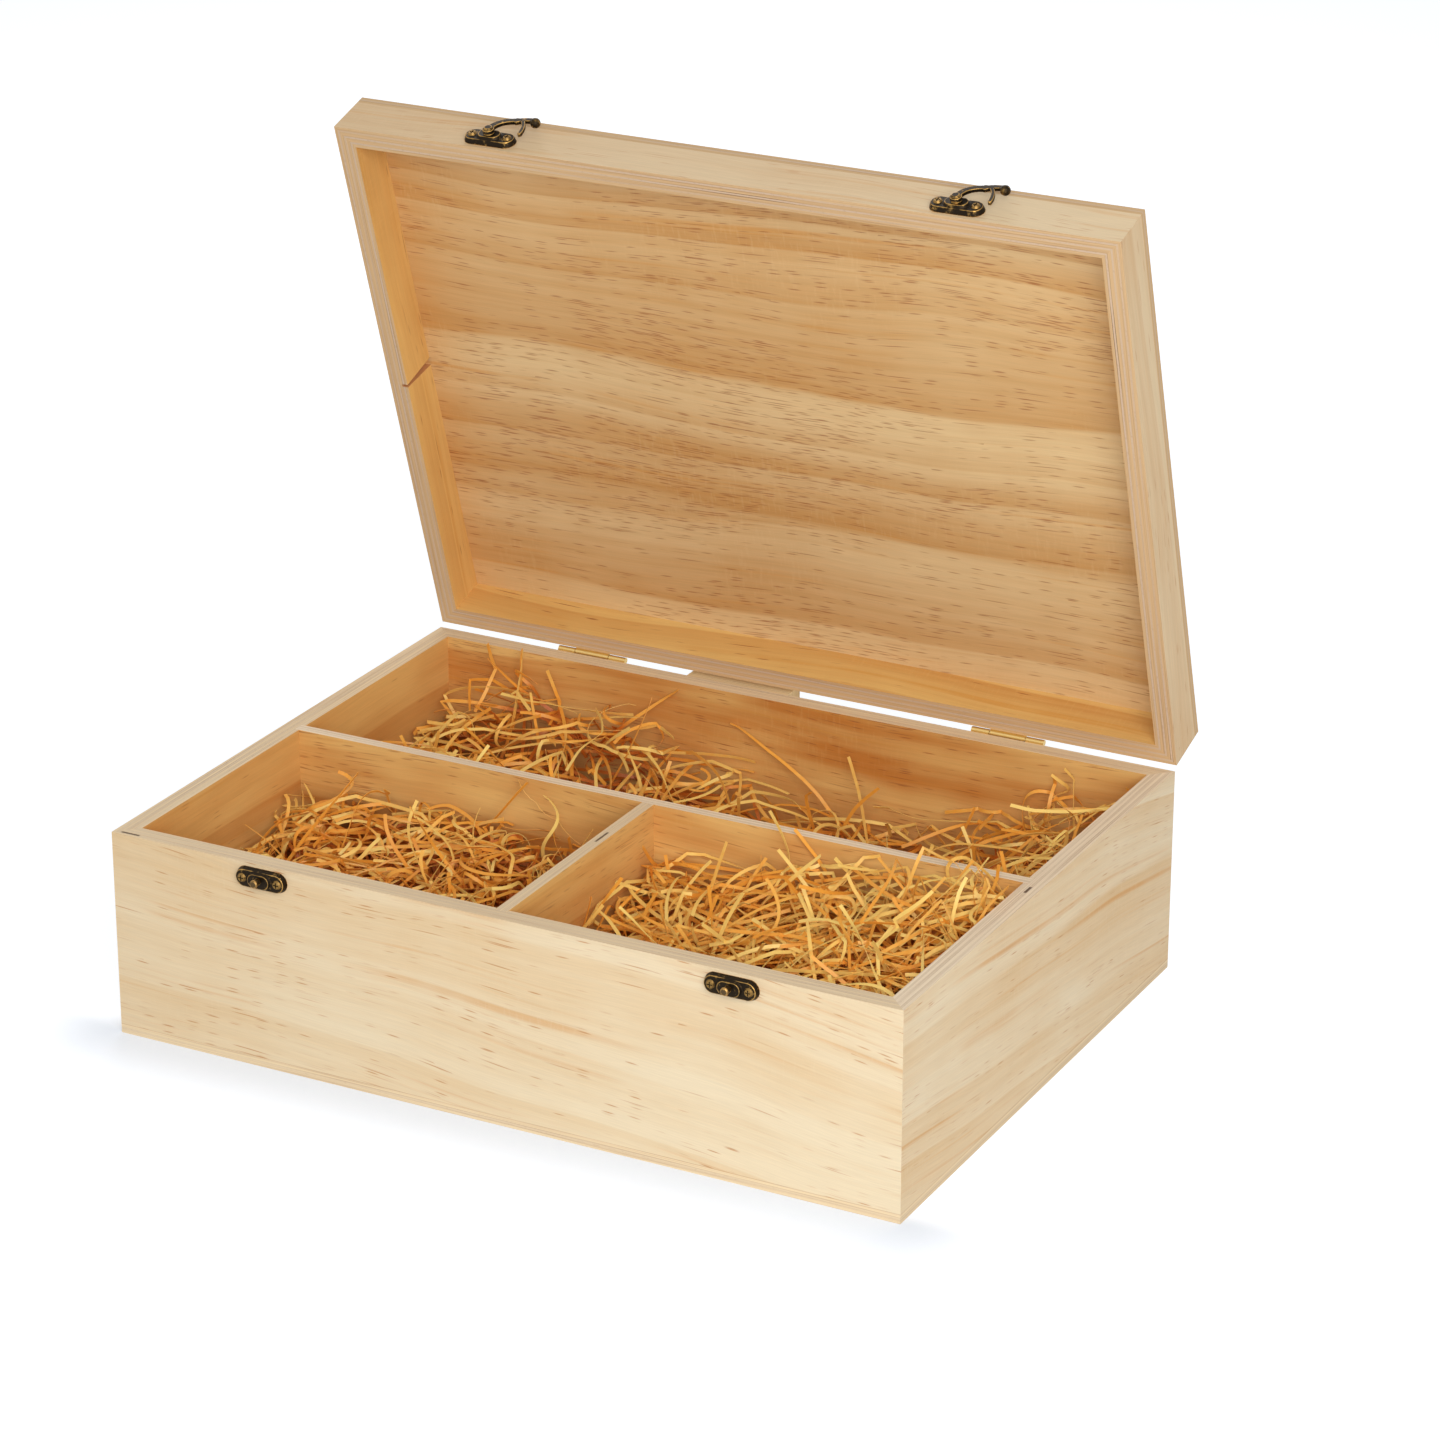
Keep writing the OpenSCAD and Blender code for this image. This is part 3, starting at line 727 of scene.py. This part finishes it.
def ribbon_tree():
    """Sweeps a flat strip along each line of a mesh, twisted and scaled by its attributes."""
    tree = bpy.data.node_groups.new("Shavings", "GeometryNodeTree")
    for label, kind in (("Geometry", "NodeSocketGeometry"), ("Width", "NodeSocketFloat"),
                        ("Thickness", "NodeSocketFloat"), ("Material", "NodeSocketMaterial")):
        tree.interface.new_socket(label, in_out="INPUT", socket_type=kind)
    tree.interface.new_socket("Geometry", in_out="OUTPUT", socket_type="NodeSocketGeometry")
    net = Net(tree)
    given = net.node("NodeGroupInput").outputs

    def attribute(name):
        return net.node("GeometryNodeInputNamedAttribute", {"Name": name},
                        data_type="FLOAT").outputs[0]

    curve = net.node("GeometryNodeMeshToCurve", {0: given["Geometry"]}).outputs[0]
    curve = net.node("GeometryNodeSetCurveTilt", {
        "Curve": curve, "Tilt": attribute("twist")}).outputs[0]
    curve = net.node("GeometryNodeSetCurveRadius", {
        "Curve": curve, "Radius": attribute("breadth")}).outputs[0]
    strip = net.node("GeometryNodeCurvePrimitiveQuadrilateral", {
        "Width": given["Width"], "Height": given["Thickness"]}, mode="RECTANGLE").outputs[0]
    mesh = net.node("GeometryNodeCurveToMesh", {
        "Curve": curve, "Profile Curve": strip, "Fill Caps": True}).outputs[0]
    mesh = net.node("GeometryNodeRealizeInstances", {0: mesh}).outputs[0]
    sharp = net.math("GREATER_THAN", net.node("GeometryNodeInputMeshEdgeAngle").outputs[0], 0.9)
    mesh = net.node("GeometryNodeSetShadeSmooth", {
        "Geometry": mesh, "Shade Smooth": True}, domain="FACE").outputs[0]
    mesh = net.node("GeometryNodeSetShadeSmooth", {
        "Geometry": mesh, "Selection": sharp, "Shade Smooth": False}, domain="EDGE").outputs[0]
    mesh = net.node("GeometryNodeSetMaterial", {
        "Geometry": mesh, "Material": given["Material"]}).outputs[0]
    net.node("NodeGroupOutput", {0: mesh})
    return tree


def set_inputs(modifier, values):
    """Sets a Geometry Nodes modifier's inputs by their sockets' identifiers."""
    for item in modifier.node_group.interface.items_tree:
        if item.item_type == "SOCKET" and item.in_out == "INPUT" and item.name in values:
            modifier[item.identifier] = values[item.name]


def shaving_material(look):
    """Painted light and shade: shavings pale on top of the pile, orange and darker deep in it."""
    material, net = new_material("Wood shavings")
    tone_and_painted_shade = net.node("ShaderNodeAttribute", attribute_name="tone_and_painted_shade").outputs["Fac"]
    place = net.node("ShaderNodeTexCoord").outputs["Object"]
    streak = net.noise(net.scaled(place, (260.0, 260.0, 260.0)), detail=2.0, roughness=0.6)
    warmth = net.add(tone_and_painted_shade, net.times(net.math("SUBTRACT", streak, 0.5), 0.3))
    colour = net.mix(net.step(warmth, 0.0, 0.5), look.pale, look.warm)
    colour = net.mix(net.step(warmth, 0.5, 1.0), colour, look.deep)
    surface = net.node("ShaderNodeBsdfPrincipled", {
        "Base Color": colour, "Roughness": 0.45, "Specular IOR Level": 0.4})
    finish_material(net, surface, streak, 0.05 * MM, 0.4)
    return material


class Pile:
    """One bay's shavings: where they may lie, how high they stand and how they curl."""

    def __init__(self, node, rim, heights, layer, curls, breadth, tone_and_painted_shade, deep):
        low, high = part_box(node)
        gap = 1.0 * MM
        self.low = np.array([low.x + gap, low.y + gap, low.z + 0.6 * MM])
        self.high = np.array([high.x - gap, high.y - gap, rim])
        self.heights = np.array(heights, float) * MM
        self.layer = layer
        self.curls = curls
        self.breadth = breadth
        self.tone_and_painted_shade = tone_and_painted_shade
        self.deep = deep

    def surface(self, at):
        """Height of the loose surface at a place, from the bay's table of heights."""
        rows, columns = self.heights.shape
        u, v = np.clip((at[:2] - self.low[:2]) / (self.high[:2] - self.low[:2]), 0, 0.9999)
        x, y = u * (columns - 1), v * (rows - 1)
        i, j = int(y), int(x)
        y, x = y - i, x - j
        y, x = y * y * (3 - 2 * y), x * x * (3 - 2 * x)
        table = self.heights
        return ((table[i, j] * (1 - x) + table[i, j + 1] * x) * (1 - y)
                + (table[i + 1, j] * (1 - x) + table[i + 1, j + 1] * x) * y)

    def path(self, rng):
        """One shaving: points that curl or fold, turn back at the wood and keep in the pile."""
        at = self.low + rng.random(3) * (self.high - self.low)
        stray = rng.random() < 0.12
        at[2] = max(self.surface(at) - self.layer * rng.random() ** 1.3, self.low[2])
        heading = rng.uniform(0, 2 * math.pi)
        pitch = rng.uniform(0.2, 1.2) if stray else rng.normal(0, 0.14)
        way = np.array([math.cos(heading) * math.cos(pitch),
                        math.sin(heading) * math.cos(pitch), math.sin(pitch)])
        curl_axis = rng.normal(0, 1, 3) * (0.5, 0.5, 1.0)
        curl_axis /= np.linalg.norm(curl_axis)
        if rng.random() < self.curls:
            radius, length = rng.uniform(6, 18) * MM, rng.uniform(35, 85) * MM
        else:
            radius, length = rng.uniform(25, 160) * MM, rng.uniform(40, 110) * MM
        side = rng.choice([-1, 1])
        step = min(max(radius * 0.22, 1.8 * MM), 3.6 * MM)
        fold_chance = 0.05 if rng.random() < 0.4 else 0.0
        lift = rng.uniform(6, 28) * MM if stray else rng.uniform(-1, 6) * MM
        points = []
        for index in range(max(int(length / step), 4)):
            points.append(at.copy())
            bend = side * step / radius * (1 + 0.6 * math.sin(index * 0.37 + heading))
            way = way + np.cross(curl_axis, way) * bend + rng.normal(0, 0.030, 3)
            if rng.random() < fold_chance:
                way = way + rng.normal(0, 1.0, 3) * (1, 1, 0.4)
            over = at[2] - self.surface(at) - lift
            if over > 0 and stray and len(points) > 5:
                break
            if over > 0:
                way[2] = min(way[2], 0.0) - min(over * 15, 0.25)
            way /= np.linalg.norm(way)
            after = at + way * step
            for axis in range(3):
                if not self.low[axis] <= after[axis] <= self.high[axis]:
                    way[axis] *= -0.5
            way /= np.linalg.norm(way)
            at = np.clip(at + way * step, self.low, self.high)
        return points

    def lines(self, name, count, rng):
        """All shavings of the bay as one mesh of polylines with their attributes."""
        points, edges = [], []
        values = {"twist": [], "breadth": [], "tone_and_painted_shade": []}
        for _ in range(count):
            path = self.path(rng)
            start, size = len(points), len(path)
            points += path
            edges += [(start + i, start + i + 1) for i in range(size - 1)]
            angle, rate = rng.uniform(0, math.pi), rng.normal(0, 0.10)
            wide, tone_and_painted_shade = self.breadth * rng.uniform(0.5, 1.3), self.tone_and_painted_shade + rng.uniform(-0.15, 0.60)
            taper = rng.uniform(0.5, 4.0)
            ends = [min(1.0, 0.3 + min(i, size - 1 - i) / taper * 0.7) for i in range(size)]
            values["twist"] += [angle + rate * i for i in range(size)]
            values["breadth"] += [wide * end for end in ends]
            # Painted shade: shavings are painted deeper in colour the further below the pile's surface they lie.
            values["tone_and_painted_shade"] += [tone_and_painted_shade + self.deep * max(self.surface(p) - p[2], 0) / self.layer
                               for p in path]
        data = bpy.data.meshes.new(name)
        data.from_pydata([tuple(p) for p in points], edges, [])
        for label, numbers in values.items():
            data.attributes.new(label, "FLOAT", "POINT").data.foreach_set("value", numbers)
        return data


# bay node: (heights in mm from the front-left corner, depth of the layer, share that curls,
# breadth, painted shade on the whole bay's colour, how much painted shade deepens the colour
# towards the bottom, number of shavings)
BAYS = {
    "wood_wool_left_bay": (
        ((46, 54, 58, 58, 56), (48, 62, 66, 64, 60), (58, 68, 68, 68, 64)), 0.030, 0.70, 0.75,
        0.10, 4.5, 1080),
    "wood_wool_right_bay": (
        ((50, 54, 60, 68, 72), (56, 62, 68, 80, 82), (66, 72, 78, 84, 86)), 0.032, 0.20, 1.15,
        0.0, 1.3, 1050),
    "wood_wool_bottle_bay": (
        ((62, 80, 84, 70, 56, 50, 50, 60, 88), (50, 50, 44, 34, 30, 30, 34, 48, 86),
         (58, 80, 80, 62, 50, 46, 50, 62, 88)), 0.028, 0.40, 0.90,
        0.0, 1.3, 1150),
}


class WINEBOX_OT_wood_wool(bpy.types.Operator):
    """Fills the three bays with loose curled shavings"""
    bl_idname = "winebox.wood_wool"
    bl_label = "Wood wool"

    def execute(self, context):
        look = context.scene.winebox_wool
        tree = ribbon_tree()
        material = shaving_material(look)
        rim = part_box("front_wall")[1].z
        for number, (node, (*shape, count)) in enumerate(BAYS.items()):
            rng = np.random.default_rng(look.seed + number)
            pile = Pile(node, rim + 15 * MM, *shape)
            name = node + "_shavings"
            piece = bpy.data.objects.new(name, pile.lines(name, count, rng))
            context.scene.collection.objects.link(piece)
            modifier = piece.modifiers.new("Shavings", "NODES")
            modifier.node_group = tree
            set_inputs(modifier, {
                "Width": look.width, "Thickness": look.thickness, "Material": material})
            baked(piece)
            settle(piece, "base", None, [node])
        return {"FINISHED"}


# ------------------------------------------------------------------- stage


def seen_directly(net):
    """1 for what the camera, a reflection or a clear body sees, 0 for light on the object."""
    rays = net.node("ShaderNodeLightPath").outputs
    return net.math("MAXIMUM", rays["Is Camera Ray"],
                    net.math("MAXIMUM", rays["Is Glossy Ray"], rays["Is Transmission Ray"]))


def soft_lamp(name, at, target, size, watts):
    lamp = bpy.data.lights.new(name, "AREA")
    lamp.shape = "DISK"
    lamp.size = size
    lamp.energy = watts
    made = bpy.data.objects.new(name, lamp)
    made.location = at
    made.rotation_euler = (Vector(target) - Vector(at)).to_track_quat("-Z", "Y").to_euler()
    made.visible_camera = False
    bpy.context.scene.collection.objects.link(made)


class WINEBOX_OT_stage(bpy.types.Operator):
    """Makes the pale floor, the soft studio light and the camera"""
    bl_idname = "winebox.stage"
    bl_label = "Floor, light and camera"

    def floor(self, context, radius):
        shape = bmesh.new()
        bmesh.ops.create_circle(shape, cap_ends=True, radius=radius, segments=96)
        data = bpy.data.meshes.new("floor")
        shape.to_mesh(data)
        shape.free()
        made = bpy.data.objects.new("floor", data)
        context.scene.collection.objects.link(made)
        material, net = new_material("Floor")
        # Painted shadow: the camera sees the floor's glow lowered close to the front of the box, so the floor is
        # darker there; further away it glows evenly white. The camera also sees a darker, bluish floor colour,
        # which takes the warm light thrown from the wood off the floor.
        lit = net.node("ShaderNodeBsdfDiffuse", {
            "Color": net.mix(seen_directly(net), (0.80, 0.80, 0.80), (0.55, 0.60, 0.68))})
        x, y, _ = net.split(net.node("ShaderNodeTexCoord").outputs["Object"])
        half_x, front = CAD_BOX[1][0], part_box("front_wall")[0].y
        beside = net.math("MAXIMUM", net.math("SUBTRACT", net.math("ABSOLUTE", x), half_x), 0.0)
        before = net.math("SUBTRACT", front, y)
        before = net.math("MAXIMUM", before, net.times(before, -3.0))
        away = net.node("ShaderNodeVectorMath", {0: net.join(beside, before, 0.0)},
                        operation="LENGTH").outputs["Value"]
        share = net.mix_value(net.step(away, 0.0, 0.047), 0.37, 0.66)
        glow = net.node("ShaderNodeEmission", {
            "Color": (1, 1, 1), "Strength": net.times(seen_directly(net), share)})
        both = net.node("ShaderNodeAddShader", {0: lit.outputs[0], 1: glow.outputs[0]})
        net.node("ShaderNodeOutputMaterial", {"Surface": both.outputs[0]})
        data.materials.append(material)

    def light(self, context):
        world = bpy.data.worlds.new("Studio")
        context.scene.world = world
        world.use_nodes = True
        net = Net(world.node_tree)
        world.node_tree.nodes.clear()
        strength = net.mix_value(seen_directly(net), 0.42, 1.0)
        sky = net.node("ShaderNodeBackground", {"Color": (1, 1, 1), "Strength": strength})
        net.node("ShaderNodeOutputWorld", {"Surface": sky.outputs[0]})
        middle = (0, 0, 0.12)
        soft_lamp("Key", (0.83, -1.16, 0.78), middle, 1.1, 16.6)
        soft_lamp("Back", (-0.7, 1.3, 1.1), middle, 1.0, 6.0)

    def camera(self, context, look):
        data = bpy.data.cameras.new("Camera")
        data.lens = look.lens
        data.sensor_width = 36
        made = bpy.data.objects.new("Camera", data)
        at, target = Vector(look.camera_at), Vector(look.looks_at)
        made.location = at
        made.rotation_euler = (target - at).to_track_quat("-Z", "Y").to_euler()
        context.scene.collection.objects.link(made)
        context.scene.camera = made

    def execute(self, context):
        look = context.scene.winebox_stage
        self.floor(context, look.floor_radius)
        self.light(context)
        self.camera(context, look)
        context.scene.view_settings.view_transform = "Standard"
        return {"FINISHED"}


# -------------------------------------------------------------- the add-on


class WINEBOX_PT_panel(bpy.types.Panel):
    """Lists the steps that make the wine box"""
    bl_idname = "WINEBOX_PT_panel"
    bl_label = "Wine box"
    bl_space_type = "VIEW_3D"
    bl_region_type = "UI"
    bl_category = "Wine box"

    def draw(self, context):
        for step in STEPS:
            self.layout.operator(step.bl_idname)
        for name in GROUPS:
            box = self.layout.box()
            for key in getattr(context.scene, name).__annotations__:
                box.prop(getattr(context.scene, name), key)


STEPS = (WINEBOX_OT_wood, WINEBOX_OT_fittings, WINEBOX_OT_wood_wool, WINEBOX_OT_stage)
GROUPS = {
    "winebox_wood": WoodSettings,
    "winebox_wool": WoolSettings,
    "winebox_metal": MetalSettings,
    "winebox_stage": StageSettings,
}


def register():
    for made in (*GROUPS.values(), *STEPS, WINEBOX_PT_panel):
        bpy.utils.register_class(made)
    for name, made in GROUPS.items():
        setattr(bpy.types.Scene, name, bpy.props.PointerProperty(type=made))


def unregister():
    for name in GROUPS:
        delattr(bpy.types.Scene, name)
    for made in (WINEBOX_PT_panel, *STEPS, *GROUPS.values()):
        bpy.utils.unregister_class(made)


def main():
    register()
    bpy.ops.winebox.wood()
    bpy.ops.winebox.fittings()
    bpy.ops.winebox.wood_wool()
    bpy.ops.winebox.stage()


if __name__ == "__main__":
    main()
